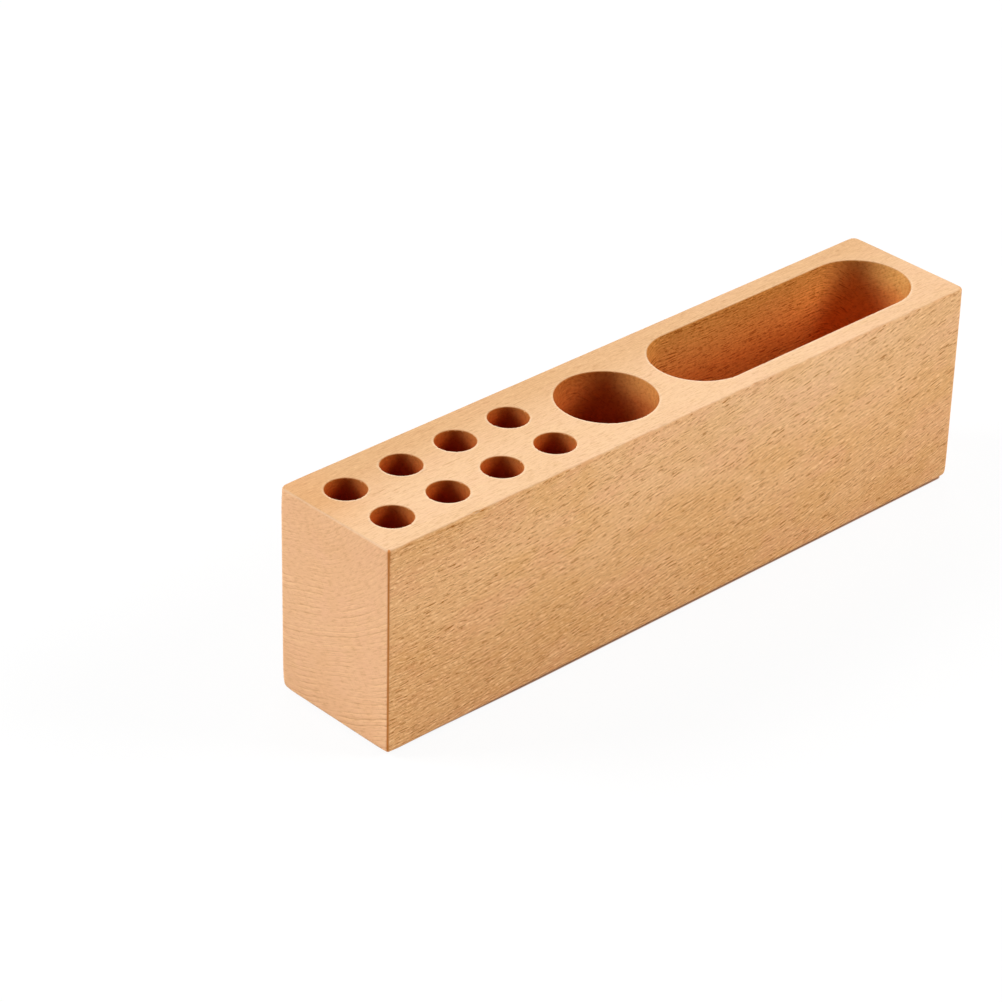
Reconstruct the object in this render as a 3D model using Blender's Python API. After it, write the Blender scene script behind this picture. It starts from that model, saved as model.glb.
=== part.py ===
"""Desk block for pens: one length of solid beech, bored and routed from above, on four thin foot pads.

Run it with blender --background --python part.py, or from the text editor. Lengths are in metres.
The origin is on the desk under the middle of the block. +X runs along the block, from the pen holes
to the long slot, and the front is towards -Y.
"""

import math

import bmesh
import bpy

# The block of wood
LENGTH = 0.230
WIDTH = 0.045
HEIGHT = 0.065
EDGE_ROUND = 0.0012

# What the cutting leaves standing
END_WALL = 0.0068
SIDE_WALL = 0.0070
FLOOR = 0.0150
PEN_CUP_WEB = 0.0080
CUP_SLOT_WEB = 0.0075

# The cuts
PEN_BORE = 0.0120
PEN_PITCH = 0.0200
PENS_PER_ROW = 4
CUP_BORE = 0.0300
RIM_EASE = 0.0004

# The foot pads, each held by a film of adhesive
PAD_DIAMETER = 0.0100
PAD_THICKNESS = 0.0007
PAD_EDGE_ROUND = 0.0002
PAD_INSET = 0.0110
ADHESIVE_FILM = 0.0003

# How finely round shapes are divided
EDGE_SEGMENTS = 3
PAD_EDGE_SEGMENTS = 2
ROUND_PROFILE = 0.5
PEN_STEPS = 20
WIDE_STEPS = 36
PAD_STEPS = 32
SMOOTH_ANGLE = math.radians(40)

# A cutter stands this far out of the wood, so that its top never lies in the wood's own face.
CUTTER_REACH = 0.0010

# Places that follow from the sizes
BLOCK_BOTTOM = PAD_THICKNESS + ADHESIVE_FILM
POCKET_WIDTH = WIDTH - 2 * SIDE_WALL
PEN_ROW_Y = (POCKET_WIDTH - PEN_BORE) / 2
FIRST_PEN_X = -LENGTH / 2 + END_WALL + PEN_BORE / 2
LAST_PEN_X = FIRST_PEN_X + (PENS_PER_ROW - 1) * PEN_PITCH
CUP_X = LAST_PEN_X + PEN_BORE / 2 + PEN_CUP_WEB + CUP_BORE / 2
SLOT_START_X = CUP_X + CUP_BORE / 2 + CUP_SLOT_WEB
SLOT_END_X = LENGTH / 2 - END_WALL
SLOT_X = (SLOT_START_X + SLOT_END_X) / 2
SLOT_STRAIGHT = SLOT_END_X - SLOT_START_X - POCKET_WIDTH

# Finishes
BEECH_COLOUR = (0.74, 0.44, 0.22, 1.0)
BEECH_ROUGHNESS = 0.5
RUBBER_COLOUR = (0.035, 0.033, 0.032, 1.0)
RUBBER_ROUGHNESS = 0.8


def clear_scene():
    for old in list(bpy.data.objects):
        bpy.data.objects.remove(old)


def make_material(name, colour, roughness):
    material = bpy.data.materials.new(name)
    material.use_nodes = True
    shader = material.node_tree.nodes["Principled BSDF"]
    shader.inputs["Base Color"].default_value = colour
    shader.inputs["Roughness"].default_value = roughness
    shader.inputs["Metallic"].default_value = 0.0
    return material


def mesh_from(shape, name):
    bmesh.ops.recalc_face_normals(shape, faces=shape.faces)
    mesh = bpy.data.meshes.new(name)
    shape.to_mesh(mesh)
    shape.free()
    mesh.shade_smooth()
    return mesh


def place(name, mesh, location, parent=None):
    item = bpy.data.objects.new(name, mesh)
    item.location = location
    item.parent = parent
    bpy.context.scene.collection.objects.link(item)
    return item


def slot_outline(straight, radius, steps):
    """Points round a slot with half-round ends. Without a straight run it is a circle."""
    arc_points = steps + 1 if straight > 0 else steps
    points = []
    for side in (1, -1):
        for step in range(arc_points):
            angle = math.pi * (step / steps - 0.5)
            x = straight / 2 + radius * math.cos(angle)
            points.append((side * x, side * radius * math.sin(angle)))
    return points


def make_cutter(name, x, y, width, straight, steps):
    """The space that one bit clears: straight walls, then the eased rim flaring past the top face."""
    depth = HEIGHT - FLOOR
    levels = (
        (-depth, 0.0),
        (-RIM_EASE, 0.0),
        (CUTTER_REACH, RIM_EASE + CUTTER_REACH),
    )
    shape = bmesh.new()
    rings = []
    for z, flare in levels:
        outline = slot_outline(straight, width / 2 + flare, steps)
        rings.append([shape.verts.new((px, py, z)) for px, py in outline])
    for lower, upper in zip(rings, rings[1:]):
        for i in range(len(lower)):
            shape.faces.new((lower[i - 1], lower[i], upper[i], upper[i - 1]))
    shape.faces.new(reversed(rings[0]))
    shape.faces.new(rings[-1])
    cutter = place(name, mesh_from(shape, name), (x, y, BLOCK_BOTTOM + HEIGHT))
    cutter.hide_render = True
    cutter.display_type = "WIRE"
    return cutter


def make_cutters():
    cutters = []
    for row, y in (("front", -PEN_ROW_Y), ("back", PEN_ROW_Y)):
        for i in range(PENS_PER_ROW):
            name = f"cut_pen_{row}_{i + 1}"
            x = FIRST_PEN_X + i * PEN_PITCH
            cutters.append(make_cutter(name, x, y, PEN_BORE, 0.0, PEN_STEPS))
    cutters.append(make_cutter("cut_cup", CUP_X, 0.0, CUP_BORE, 0.0, WIDE_STEPS))
    cutters.append(make_cutter("cut_slot", SLOT_X, 0.0, POCKET_WIDTH, SLOT_STRAIGHT, WIDE_STEPS))
    return cutters


def cut_away(item, cutters):
    """Cuts every cutter out of the item and keeps the result, with crisp edges left unsmoothed."""
    for cutter in cutters:
        cut = item.modifiers.new(cutter.name, "BOOLEAN")
        cut.operation = "DIFFERENCE"
        cut.solver = "EXACT"
        cut.object = cutter
    bpy.context.view_layer.update()
    graph = bpy.context.evaluated_depsgraph_get()
    blank = item.data
    item.data = bpy.data.meshes.new_from_object(item.evaluated_get(graph))
    item.modifiers.clear()
    bpy.data.meshes.remove(blank)
    item.data.name = item.name
    item.data.shade_smooth()
    item.data.set_sharp_from_angle(angle=SMOOTH_ANGLE)


def make_block(parent):
    """A squared length of beech with its arrises sanded round, then bored and routed from above."""
    shape = bmesh.new()
    bmesh.ops.create_cube(shape, size=1.0)
    bmesh.ops.translate(shape, vec=(0.0, 0.0, 0.5), verts=shape.verts)
    bmesh.ops.scale(shape, vec=(LENGTH, WIDTH, HEIGHT), verts=shape.verts)
    bmesh.ops.bevel(
        shape,
        geom=shape.edges[:],
        offset=EDGE_ROUND,
        segments=EDGE_SEGMENTS,
        profile=ROUND_PROFILE,
        affect="EDGES",
    )
    mesh = mesh_from(shape, "beech_blank")
    mesh.materials.append(make_material("beech", BEECH_COLOUR, BEECH_ROUGHNESS))
    block = place("beech_block", mesh, (0.0, 0.0, BLOCK_BOTTOM), parent)
    cut_away(block, make_cutters())


def make_pads(parent):
    """Four thin discs, each with its lower edge rounded, set in from the block's corners."""
    shape = bmesh.new()
    bmesh.ops.create_cone(
        shape,
        cap_ends=True,
        segments=PAD_STEPS,
        radius1=PAD_DIAMETER / 2,
        radius2=PAD_DIAMETER / 2,
        depth=PAD_THICKNESS,
    )
    bmesh.ops.translate(shape, vec=(0.0, 0.0, PAD_THICKNESS / 2), verts=shape.verts)
    lower_rim = [e for e in shape.edges if max(v.co.z for v in e.verts) < PAD_THICKNESS / 2]
    bmesh.ops.bevel(
        shape,
        geom=lower_rim,
        offset=PAD_EDGE_ROUND,
        segments=PAD_EDGE_SEGMENTS,
        profile=ROUND_PROFILE,
        affect="EDGES",
    )
    mesh = mesh_from(shape, "foot_pad")
    mesh.set_sharp_from_angle(angle=SMOOTH_ANGLE)
    mesh.materials.append(make_material("foot_rubber", RUBBER_COLOUR, RUBBER_ROUGHNESS))
    for depth_name, y_side in (("front", -1), ("back", 1)):
        for length_name, x_side in (("left", -1), ("right", 1)):
            x = x_side * (LENGTH / 2 - PAD_INSET)
            y = y_side * (WIDTH / 2 - PAD_INSET)
            place(f"foot_pad_{depth_name}_{length_name}", mesh, (x, y, 0.0), parent)


clear_scene()
whole = place("pen_block", None, (0.0, 0.0, 0.0))
make_block(whole)
make_pads(whole)
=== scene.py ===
# %% [markdown]
# # A beech desk block for pens
#
# The object is one length of solid beech, a little longer than a hand, bored and routed from above. It
# has two rows of pen holes, one wide round hole and one long slot, and it stands on four thin rubber
# feet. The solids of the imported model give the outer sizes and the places. This script dresses them: it
# cuts a finer block with softened edges, grows a beech inside it, and sets up a plain studio around it.

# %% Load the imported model
import math

import bmesh
import bpy
import numpy as np
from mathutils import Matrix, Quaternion, Vector, geometry, noise


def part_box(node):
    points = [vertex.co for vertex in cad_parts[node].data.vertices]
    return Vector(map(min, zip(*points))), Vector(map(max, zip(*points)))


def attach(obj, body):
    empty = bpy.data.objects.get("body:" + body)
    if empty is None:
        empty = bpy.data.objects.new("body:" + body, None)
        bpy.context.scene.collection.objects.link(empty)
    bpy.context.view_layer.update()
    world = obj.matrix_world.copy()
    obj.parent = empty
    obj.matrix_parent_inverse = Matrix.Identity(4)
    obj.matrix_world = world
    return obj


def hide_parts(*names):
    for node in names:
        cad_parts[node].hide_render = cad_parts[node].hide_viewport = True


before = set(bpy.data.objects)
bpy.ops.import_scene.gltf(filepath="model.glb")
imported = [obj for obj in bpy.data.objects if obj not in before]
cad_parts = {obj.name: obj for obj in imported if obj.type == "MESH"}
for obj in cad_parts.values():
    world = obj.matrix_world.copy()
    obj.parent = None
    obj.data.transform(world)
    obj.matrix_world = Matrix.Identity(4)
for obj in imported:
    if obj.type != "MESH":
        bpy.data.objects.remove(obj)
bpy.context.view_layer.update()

MM = 0.001
block_low, block_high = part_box("beech_block")
print("nodes:", sorted(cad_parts))
print("block from", [round(v / MM, 1) for v in block_low], "to", [round(v / MM, 1) for v in block_high])

# %% [markdown]
# ## The sizes of the cuts
#
# The outside of the block is read from its solid. The cuts are set out as a maker would mark them on
# the top face: a wall at each end, a pitch from pen to pen, and a web of wood between two hollows. The
# long slot takes the length that is left.

# %% Set out the cuts
BLOCK_LENGTH = block_high.x - block_low.x
BLOCK_WIDTH = block_high.y - block_low.y
TOP_Z = block_high.z
FLOOR_THICKNESS = 15.0 * MM
FLOOR_Z = block_low.z + FLOOR_THICKNESS
END_WALL = 6.8 * MM
SIDE_WALL = 7.0 * MM
PEN_BORE = 12.0 * MM
PEN_PITCH = 20.0 * MM
PENS_PER_ROW = 4
PEN_CUP_WEB = 8.0 * MM
CUP_BORE = 30.0 * MM
CUP_SLOT_WEB = 7.5 * MM

slot_width = BLOCK_WIDTH - 2 * SIDE_WALL
pen_row_y = (slot_width - PEN_BORE) / 2
first_pen_x = block_low.x + END_WALL + PEN_BORE / 2
pen_places = [
    (first_pen_x + i * PEN_PITCH, side * pen_row_y) for side in (-1, 1) for i in range(PENS_PER_ROW)
]
cup_x = first_pen_x + (PENS_PER_ROW - 1) * PEN_PITCH + PEN_BORE / 2 + PEN_CUP_WEB + CUP_BORE / 2
slot_start = cup_x + CUP_BORE / 2 + CUP_SLOT_WEB
slot_end = block_high.x - END_WALL
slot_x = (slot_start + slot_end) / 2
slot_straight = slot_end - slot_start - slot_width
print("slot", round((slot_end - slot_start) / MM, 1), "mm long, cup at", round(cup_x / MM, 1), "mm")

# %% [markdown]
# ## The camera
#
# A long lens a metre away gives the flat, even perspective of a product picture. The camera is placed
# by the two angles of its view and by the point it looks at, because those are what one can read off a
# picture, and a small roll sets the tilt of the table.

# %% Place the camera
VIEW_AZIMUTH = -43.62
VIEW_ELEVATION = 30.87
VIEW_ROLL = 1.40
VIEW_DISTANCE = 1074.6 * MM
VIEW_AIM = Vector((-30.24, 24.17, 27.37)) * MM
LENS = 133.4
SENSOR = 36.0
FARTHEST_SEEN = 20.0


def add_object(name, data):
    made = bpy.data.objects.new(name, data)
    bpy.context.scene.collection.objects.link(made)
    return made


azimuth, elevation = math.radians(VIEW_AZIMUTH), math.radians(VIEW_ELEVATION)
towards_camera = Vector((
    math.sin(azimuth) * math.cos(elevation),
    -math.cos(azimuth) * math.cos(elevation),
    math.sin(elevation),
))
camera_data = bpy.data.cameras.new("studio_camera")
camera_data.lens = LENS
camera_data.sensor_width = SENSOR
camera_data.clip_end = FARTHEST_SEEN
camera = add_object("studio_camera", camera_data)
camera.location = VIEW_AIM + towards_camera * VIEW_DISTANCE
camera.rotation_mode = "QUATERNION"
roll = Quaternion((0.0, 0.0, 1.0), math.radians(VIEW_ROLL))
camera.rotation_quaternion = towards_camera.to_track_quat("Z", "Y") @ roll
bpy.context.scene.camera = camera
bpy.context.scene.view_settings.view_transform = "Standard"
print("camera at", [round(v, 3) for v in camera.location])

# %% [markdown]
# ## Small helpers for shader nodes
#
# A material here is a few dozen nodes. One helper adds a node and fills its sockets, with a number or
# with a link from another socket, and one writes a line of arithmetic. That keeps each step of a finish
# on a line of its own.


# %% Helpers for shader nodes
def empty_tree(owner):
    """The node tree of a material or a world, with nothing in it yet."""
    owner.use_nodes = True
    owner.node_tree.nodes.clear()
    return owner.node_tree


def fill(tree, socket, value):
    """Links a socket to the output of another node, or writes a constant on it."""
    if isinstance(value, bpy.types.NodeSocket):
        tree.links.new(value, socket)
    else:
        socket.default_value = value


def add_node(tree, kind, sockets=None, **settings):
    made = tree.nodes.new(kind)
    for name, value in settings.items():
        setattr(made, name, value)
    for name, value in (sockets or {}).items():
        fill(tree, made.inputs[name], value)
    return made


def calc(tree, operation, *values):
    return add_node(tree, "ShaderNodeMath", dict(enumerate(values)), operation=operation).outputs[0]


def vector_calc(tree, operation, *values):
    return add_node(tree, "ShaderNodeVectorMath", dict(enumerate(values)), operation=operation).outputs[0]


def mix_shaders(tree, amount, first, second):
    sockets = {0: amount, 1: first.outputs[0], 2: second.outputs[0]}
    return add_node(tree, "ShaderNodeMixShader", sockets)


def blend_colour(tree, amount, first, second, how="MIX"):
    mixer = add_node(tree, "ShaderNodeMix", data_type="RGBA", blend_type=how)
    for name, value in (("Factor_Float", amount), ("A_Color", first), ("B_Color", second)):
        fill(tree, next(s for s in mixer.inputs if s.identifier == name), value)
    return next(s for s in mixer.outputs if s.identifier == "Result_Color")


def step_between(tree, value, start, end):
    """0 up to the start, 1 from the end on, and smooth between them. The end may come first."""
    sockets = {"Value": value, "From Min": start, "From Max": end}
    return add_node(tree, "ShaderNodeMapRange", sockets, interpolation_type="SMOOTHSTEP").outputs["Result"]


def stretch(tree, vector, scale, shift=(0.0, 0.0, 0.0)):
    sockets = {"Vector": vector, "Scale": scale, "Location": shift}
    return add_node(tree, "ShaderNodeMapping", sockets).outputs["Vector"]


def soft_noise(tree, vector, scale, detail, roughness=0.5):
    sockets = {"Vector": vector, "Scale": scale, "Detail": detail, "Roughness": roughness}
    return add_node(tree, "ShaderNodeTexNoise", sockets).outputs


def place_on_piece(tree):
    """Where a point lies on its piece, in metres."""
    return add_node(tree, "ShaderNodeTexCoord").outputs["Object"]


def in_mm(tree, vector):
    sockets = {0: vector, "Scale": 1 / MM}
    return add_node(tree, "ShaderNodeVectorMath", sockets, operation="SCALE").outputs[0]


def axes_of(tree, vector):
    return add_node(tree, "ShaderNodeSeparateXYZ", {0: vector}).outputs


# %% [markdown]
# ## The studio
#
# A white table, a wide soft lamp on each side of the camera, and a pale room around them. The room could
# be one even colour, but a bright room would fill every hole with light. So it lights the block only a
# little, and rays that reach the camera directly or by a reflection see a plain white room instead.

# %% Light the room
ROOM_LIGHT = 0.10
ROOM_COLOUR = (1.0, 0.985, 0.965, 1.0)
WHITE = (1.0, 1.0, 1.0, 1.0)


def seen_directly(tree):
    """1 for a ray from the camera, or from a reflection or a clear piece in view."""
    path = add_node(tree, "ShaderNodeLightPath").outputs
    seen = calc(tree, "MAXIMUM", path["Is Camera Ray"], path["Is Glossy Ray"])
    return calc(tree, "MAXIMUM", seen, path["Is Transmission Ray"])


world = bpy.data.worlds.new("pale_room")
bpy.context.scene.world = world
room = empty_tree(world)
even_light = add_node(room, "ShaderNodeBackground", {"Color": ROOM_COLOUR, "Strength": ROOM_LIGHT})
white_wall = add_node(room, "ShaderNodeBackground", {"Color": WHITE, "Strength": 1.0})
room_mix = mix_shaders(room, seen_directly(room), even_light, white_wall)
add_node(room, "ShaderNodeOutputWorld", {"Surface": room_mix.outputs[0]})
print("room lit at", ROOM_LIGHT)

# %% [markdown]
# The lamps are soft boxes of one size at one distance, so only direction and power tell them apart. The
# left one lights the end of the block, the right one its long front, and both light the top. Neither
# looks into a hole from where the camera stands, so the far wall of each hole stays dark between two
# lit cheeks. A lamp behind the block skims its top for the sheen of the oil, and a weak one above
# reaches a little way into the hollows.

# %% Hang the lamps
LAMP_DISTANCE = 2.4
LAMP_SIZE = 1.04
SIDE_LIFT = 0.66
LEFT_POWER = 50.0
RIGHT_POWER = 46.6
SHEEN_DIRECTION = (0.58, 0.62, 0.60)
SHEEN_POWER = 10.0
STRAIGHT_UP = (0.0, 0.0, 1.0)
OVERHEAD_POWER = 5.0


def add_lamp(name, direction, power):
    lamp_data = bpy.data.lights.new(name, "AREA")
    lamp_data.shape = "SQUARE"
    lamp_data.size = LAMP_SIZE
    lamp_data.energy = power
    lamp = add_object(name, lamp_data)
    away = Vector(direction).normalized()
    lamp.location = away * LAMP_DISTANCE
    lamp.rotation_mode = "QUATERNION"
    lamp.rotation_quaternion = away.to_track_quat("Z", "Y")
    print(name, "at", [round(v, 2) for v in lamp.location], "with", power, "W")


camera_right = Vector((math.cos(azimuth), math.sin(azimuth), 0.0))
lift = Vector((0.0, 0.0, SIDE_LIFT))
add_lamp("left_lamp", lift - camera_right, LEFT_POWER)
add_lamp("right_lamp", lift + camera_right, RIGHT_POWER)
add_lamp("sheen_lamp", SHEEN_DIRECTION, SHEEN_POWER)
add_lamp("overhead_lamp", STRAIGHT_UP, OVERHEAD_POWER)

# %% [markdown]
# The table is white. For the camera most of that white is a glow, which stays white where the lamps are
# weak, and the rest takes the shadow of the block. The block stands a millimetre off the table, and the
# gap shows as a thin dark line along its lower edge. Light alone leaves that line too pale beside a
# glowing table, so the gap is painted: a dark rectangle with round corners, a little smaller than the
# block, that narrows towards the left end.

# %% Lay the table
TABLE_SIZE = 6.0

half = TABLE_SIZE / 2
table_corners = [(-half, -half, 0), (half, -half, 0), (half, half, 0), (-half, half, 0)]
table_mesh = bpy.data.meshes.new("white_table")
table_mesh.from_pydata(table_corners, [], [(0, 1, 2, 3)])
table = add_object("white_table", table_mesh)
print("table", TABLE_SIZE, "m wide")

# %% Shade the gap under the block
UNDER_X = BLOCK_LENGTH / 2 - 1.9 * MM
UNDER_SHIFT = 1.1 * MM
UNDER_Y = BLOCK_WIDTH / 2 - 1.5 * MM
UNDER_TAPER = 0.85 * MM
UNDER_CORNER = 2.0 * MM
UNDER_FADE = 0.5 * MM

table_material = bpy.data.materials.new("white_table")
table_mesh.materials.append(table_material)
paint = empty_tree(table_material)
under_place = stretch(paint, place_on_piece(paint), (1.0, 1.0, 1.0), (-UNDER_SHIFT, 0.0, 0.0))
to_left = step_between(paint, axes_of(paint, under_place)["X"], -UNDER_X / 2, -UNDER_X)
straight_y = calc(paint, "MULTIPLY_ADD", to_left, -UNDER_TAPER, UNDER_Y - UNDER_CORNER)
straight = add_node(paint, "ShaderNodeCombineXYZ", {"X": UNDER_X - UNDER_CORNER, "Y": straight_y})
past = vector_calc(paint, "ABSOLUTE", under_place)
past = vector_calc(paint, "SUBTRACT", past, straight.outputs[0])
past = vector_calc(paint, "MAXIMUM", past, (0.0, 0.0, 0.0))
from_bend = add_node(paint, "ShaderNodeVectorMath", {0: past}, operation="LENGTH").outputs["Value"]
clear_table = step_between(paint, from_bend, UNDER_CORNER, UNDER_CORNER + UNDER_FADE)
print("dark gap", round(2 * UNDER_X / MM, 1), "by", round(2 * UNDER_Y / MM, 1), "mm")

# %% Paint the table
TABLE_BOUNCE = (0.80, 0.79, 0.78, 1.0)
TABLE_GLOW = 0.91
UNDER_BROWN = (0.50, 0.30, 0.19, 1.0)

bounce = add_node(paint, "ShaderNodeBsdfDiffuse", {"Color": TABLE_BOUNCE})
glow = add_node(paint, "ShaderNodeEmission", {"Color": WHITE, "Strength": 1.0})
shaded = add_node(paint, "ShaderNodeBsdfDiffuse", {
    "Color": blend_colour(paint, clear_table, UNDER_BROWN, WHITE),
})
lifted = mix_shaders(paint, calc(paint, "MULTIPLY", clear_table, TABLE_GLOW), shaded, glow)
table_mix = mix_shaders(paint, seen_directly(paint), bounce, lifted)
add_node(paint, "ShaderNodeOutputMaterial", {"Surface": table_mix.outputs[0]})
print("table:", len(paint.nodes), "nodes")

# %% [markdown]
# ## Outlines with a direction at every point
#
# Every edge of the block is rounded, and every hollow is a stack of rings of one outline. So an outline
# here is two lists: points on the wall, and at each point the direction that is square to the wall. A
# ring further in or out is then the points moved along their directions. A cut with half-round ends and
# a rectangle with round corners both come from straight runs and arcs, walked at an even step.


# %% Walk along an outline
def walk(pieces):
    """Points and outward directions along straight runs and arcs, each left at its last point."""
    points, directions = [], []
    for kind, count, *what in pieces:
        shares = np.arange(count) / count
        if kind == "line":
            start, end = (np.array(p) for p in what)
            run = end - start
            square = np.array((run[1], -run[0])) / np.hypot(*run)
            points += [start + run * share for share in shares]
            directions += [square] * count
        else:
            centre, radius, start_angle, end_angle = what
            for angle in start_angle + (end_angle - start_angle) * shares:
                square = np.array((math.cos(angle), math.sin(angle)))
                points.append(np.array(centre) + radius * square)
                directions.append(square)
    return np.array(points), np.array(directions)


def cut_outline(x, y, width, straight, step):
    """A slot with half-round ends, or a round hole where there is no straight run."""
    radius = width / 2
    bend = round(math.pi * radius / step)
    pieces = []
    for side in (1, -1):
        near_x, far_x = x + side * straight / 2, x - side * straight / 2
        start_angle = -side * math.pi / 2
        pieces.append(("arc", bend, (near_x, y), radius, start_angle, start_angle + math.pi))
        if straight > 0:
            wall_y = y + side * radius
            pieces.append(("line", round(straight / step), (near_x, wall_y), (far_x, wall_y)))
    return walk(pieces)


# %% [markdown]
# The outside of the block is walked in the same way. Its four upright corners were sanded by hand, so
# each has a radius of its own, and each is worn rounder towards its ends by an amount of its own. They
# are listed anticlockwise from the front right one. A ring that is set in further has smaller corners,
# but never sharp ones.

# %% Walk round the block
SKIN_STEP = 0.60 * MM
CORNER_RADII = (1.9 * MM, 1.5 * MM, 1.7 * MM, 0.70 * MM)
CORNER_WEAR = (0.1, 0.4, 0.4, 0.7)
LEAST_RADIUS = 0.12 * MM
CORNER_POINTS = 8


def block_outline(inset, near_end=0.0):
    """The block seen from above, a given distance in from its faces. Corners are rounder near an end."""
    x, y = BLOCK_LENGTH / 2 - inset, BLOCK_WIDTH / 2 - inset
    radii = []
    for radius, wear in zip(CORNER_RADII, CORNER_WEAR):
        radii.append(max(radius * (1 + wear * near_end) - inset, LEAST_RADIUS))
    signs = ((1, -1), (1, 1), (-1, 1), (-1, -1))
    centres = [np.array((sx * (x - r), sy * (y - r))) for (sx, sy), r in zip(signs, radii)]
    pieces = []
    for i, (centre, radius) in enumerate(zip(centres, radii)):
        start_angle = (i - 1) * math.pi / 2
        end_angle = start_angle + math.pi / 2
        pieces.append(("arc", CORNER_POINTS, centre, radius, start_angle, end_angle))
        square = np.array((math.cos(end_angle), math.sin(end_angle)))
        after = (i + 1) % len(centres)
        run = BLOCK_WIDTH if i % 2 == 0 else BLOCK_LENGTH
        pieces.append((
            "line", round(run / SKIN_STEP), centre + radius * square, centres[after] + radii[after] * square,
        ))
    return walk(pieces)


# %% [markdown]
# ## The bored block
#
# The block could be a box with ten Boolean cuts. A Boolean leaves long thin faces round its cuts, and
# the eased rims would then need a bevel that has to find them. Here the skin is built ring by ring
# instead: down from each rim to its floor, and round the outside from the underside to the top. One
# flat sheet with ten holes then closes the top. Rims and edges get their rounding, small chips and
# dents as they are made.

# %% Chips and unevenness
CHIP_REACH = (0.5, 1.3)
CHIP_DEPTH = (0.25, 0.9)
rng = np.random.default_rng(23)


def rim_chips(points, count, size):
    """How much further the rim is broken out at each point: a few small bites at random places."""
    bites = np.zeros(len(points))
    for place in rng.integers(0, len(points), count):
        reach = rng.uniform(*CHIP_REACH) * size
        depth = rng.uniform(*CHIP_DEPTH) * size
        away = np.hypot(*(points - points[place]).T)
        bites = np.maximum(bites, depth * np.clip(1 - (away / reach) ** 2, 0, 1))
    return bites


def wander(points, amount, scale, seed):
    """A slow unevenness along an outline, as a hand-held sander leaves it."""
    return np.array([amount * noise.noise(Vector((p[0] / scale, p[1] / scale, seed))) for p in points])


# %% [markdown]
# The whole skin goes into one mesh. Each of its points carries five marks: a darker brown at some edges,
# partly painted shade, a painted highlight at a rim, inside a hollow, how deep in it, and how much
# painted shade darkens a hollow's wall there. The colour of the wood reads these marks later. It could
# look for rims and walls by their places instead, but marks stay with the shape when a size is changed.

# %% Make the rings of the skin
# Of the five marks, the first is partly painted shade, the second a painted highlight, and the last painted
# shade.
MARKS = ("burnish", "rim_wear", "hollow", "depth", "scorch")

shape = bmesh.new()
marks = {name: shape.verts.layers.float.new(name) for name in MARKS}
print("each point of the skin carries", ", ".join(MARKS))


def add_ring(points, directions, move, z, **worn):
    """One ring of the skin: the outline's points moved along their directions, at one height."""
    places = points + directions * np.reshape(move, (-1, 1))
    heights = np.broadcast_to(z, len(points))
    worn = {name: np.broadcast_to(amount, len(points)) for name, amount in worn.items()}
    ring = []
    for i, (place, height) in enumerate(zip(places, heights)):
        vertex = shape.verts.new((place[0], place[1], height))
        for name, amounts in worn.items():
            vertex[marks[name]] = amounts[i]
        ring.append(vertex)
    return ring


def quarter_turn(steps):
    """The angles of a rounded edge, from 0 to a right angle."""
    return [math.pi / 2 * i / steps for i in range(steps + 1)]


def join_rings(mesh, rings):
    for lower, upper in zip(rings, rings[1:]):
        for i in range(len(lower)):
            mesh.faces.new((lower[i - 1], lower[i], upper[i], upper[i - 1]))


# %% [markdown]
# The floor of a round hole shows how it was cut: a bit with a rim and a centre point leaves a fine
# groove along the wall and a small pit in the middle. The slot was cleared by a router in passes that
# follow its outline, and each pass leaves a faint ridge.

# %% Shape the floors
FLOOR_FILLET = 0.6 * MM
GROOVE = 0.35 * MM
PIT_RADIUS = 1.3 * MM
PIT_DEPTH = 1.6 * MM
PASS_SHARES = (0.24, 0.48, 0.72)
PASS_HALF = 0.03
PASS_RIDGE = 0.08 * MM
LAST_PASS = 0.93


def round_floor(radius):
    """(distance in from the wall, height) from the wall to the centre, for a bored hole."""
    return (
        (FLOOR_FILLET * 0.3, 0.0),
        (FLOOR_FILLET * 0.6, -GROOVE),
        (FLOOR_FILLET * 1.4, -GROOVE),
        (FLOOR_FILLET * 1.8, 0.0),
        (radius * 0.6, 0.0),
        (radius - PIT_RADIUS, 0.0),
        (radius - PIT_RADIUS * 0.5, -PIT_DEPTH * 0.6),
        (radius - PIT_RADIUS * 0.12, -PIT_DEPTH),
    )


def routed_floor(radius):
    """The same for a routed slot: shallow passes with a ridge between them."""
    levels = [(FLOOR_FILLET * 0.3, FLOOR_FILLET * 0.3), (FLOOR_FILLET, 0.0)]
    for share in PASS_SHARES:
        levels.append((radius * (share - PASS_HALF), 0.0))
        levels.append((radius * share, PASS_RIDGE))
        levels.append((radius * (share + PASS_HALF), 0.0))
    return levels + [(radius * LAST_PASS, 0.0)]


print("floors:", len(round_floor(CUP_BORE / 2)), "rings bored,", len(routed_floor(slot_width / 2)), "routed")

# %% [markdown]
# A hollow runs from its rim down the wall to the floor. Its rim was eased by hand and is chipped in a few
# places. The rim gets a painted highlight, strongest on the side that faces the camera. The walls of the
# round holes get painted shade that grows the deeper they go, more in the small holes than in the wide
# one. The slot gets none of that shade.

# %% Cut the hollows
RIM_EASE = 0.28 * MM
RIM_STEPS = 4
# The rim's painted highlight lies in a band beside it, strongest on the side that faces the camera.
RIM_BAND = 0.6 * MM
BAND_HIGHLIGHT = 0.8
NEAR_SIDE = np.array((-0.69, -0.72))
EVEN_HIGHLIGHT = 0.35
LEAST_HIGHLIGHT = 0.10
WALL_STEPS = 14
CHIP_CLEAR = 2.2
# Painted shade on a hollow's walls: full from this share of its width down, and a part of it on the rim.
DARK_DEPTH = 0.62
UPPER_HOLE_SHADE = 0.62


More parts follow.
